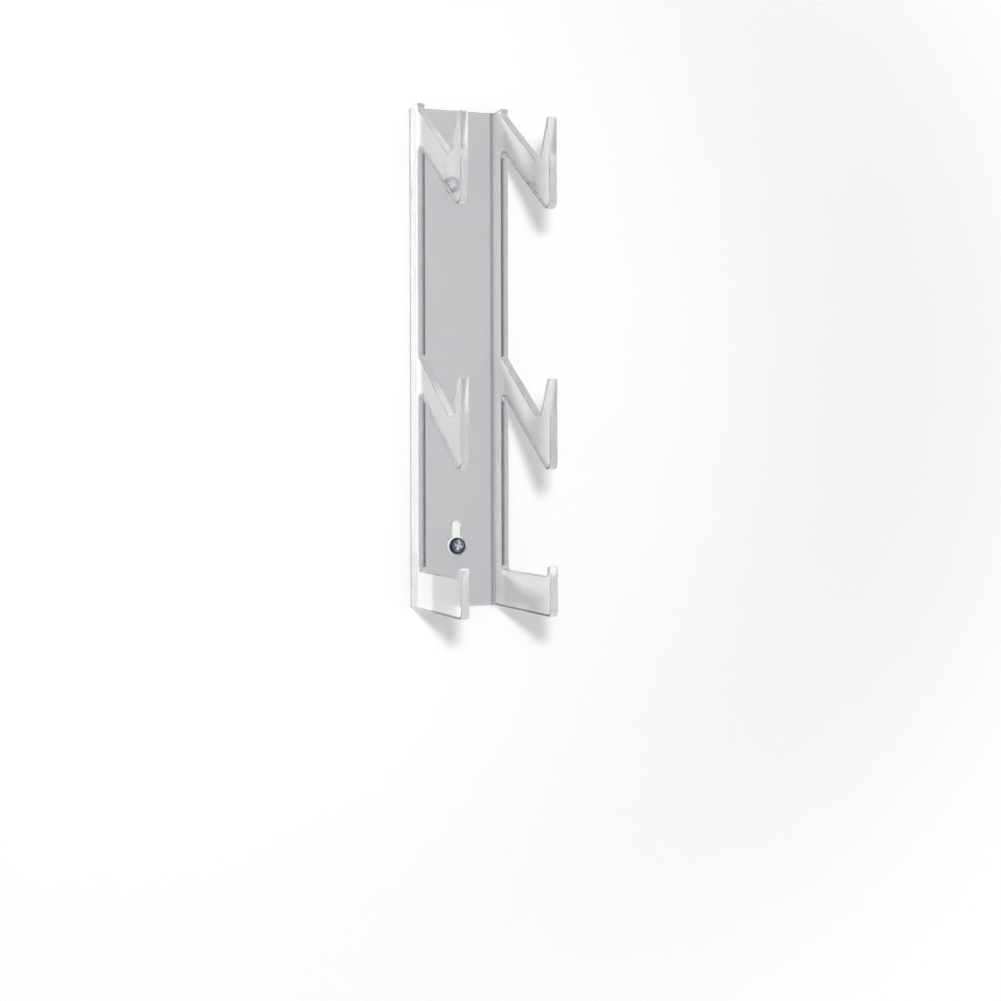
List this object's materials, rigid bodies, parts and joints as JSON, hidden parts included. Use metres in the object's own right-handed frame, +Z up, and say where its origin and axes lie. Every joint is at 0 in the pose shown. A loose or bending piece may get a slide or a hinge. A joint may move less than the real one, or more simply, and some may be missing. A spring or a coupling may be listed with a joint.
{
  "type": "game controller wall mount",
  "caption": "Clear channel wall mount with paired V-notch hooks for game controllers over a lipped seat for a headset, on keyholes and wall screws.",
  "frame": {"origin": "middle of the flat back face, which lies against the wall", "axes": "+X across the mount, +Y into the wall, +Z up"},
  "size_m": [0.046, 0.1002, 0.242],
  "materials": {
    "clear_acrylic": "clear, polished",
    "screw_steel": "bright zinc plate"
  },
  "bodies": {
    "root": {"wall_bracket": "clear_acrylic", "lower_screw": "screw_steel", "upper_screw": "screw_steel"}
  },
  "joints": []
}
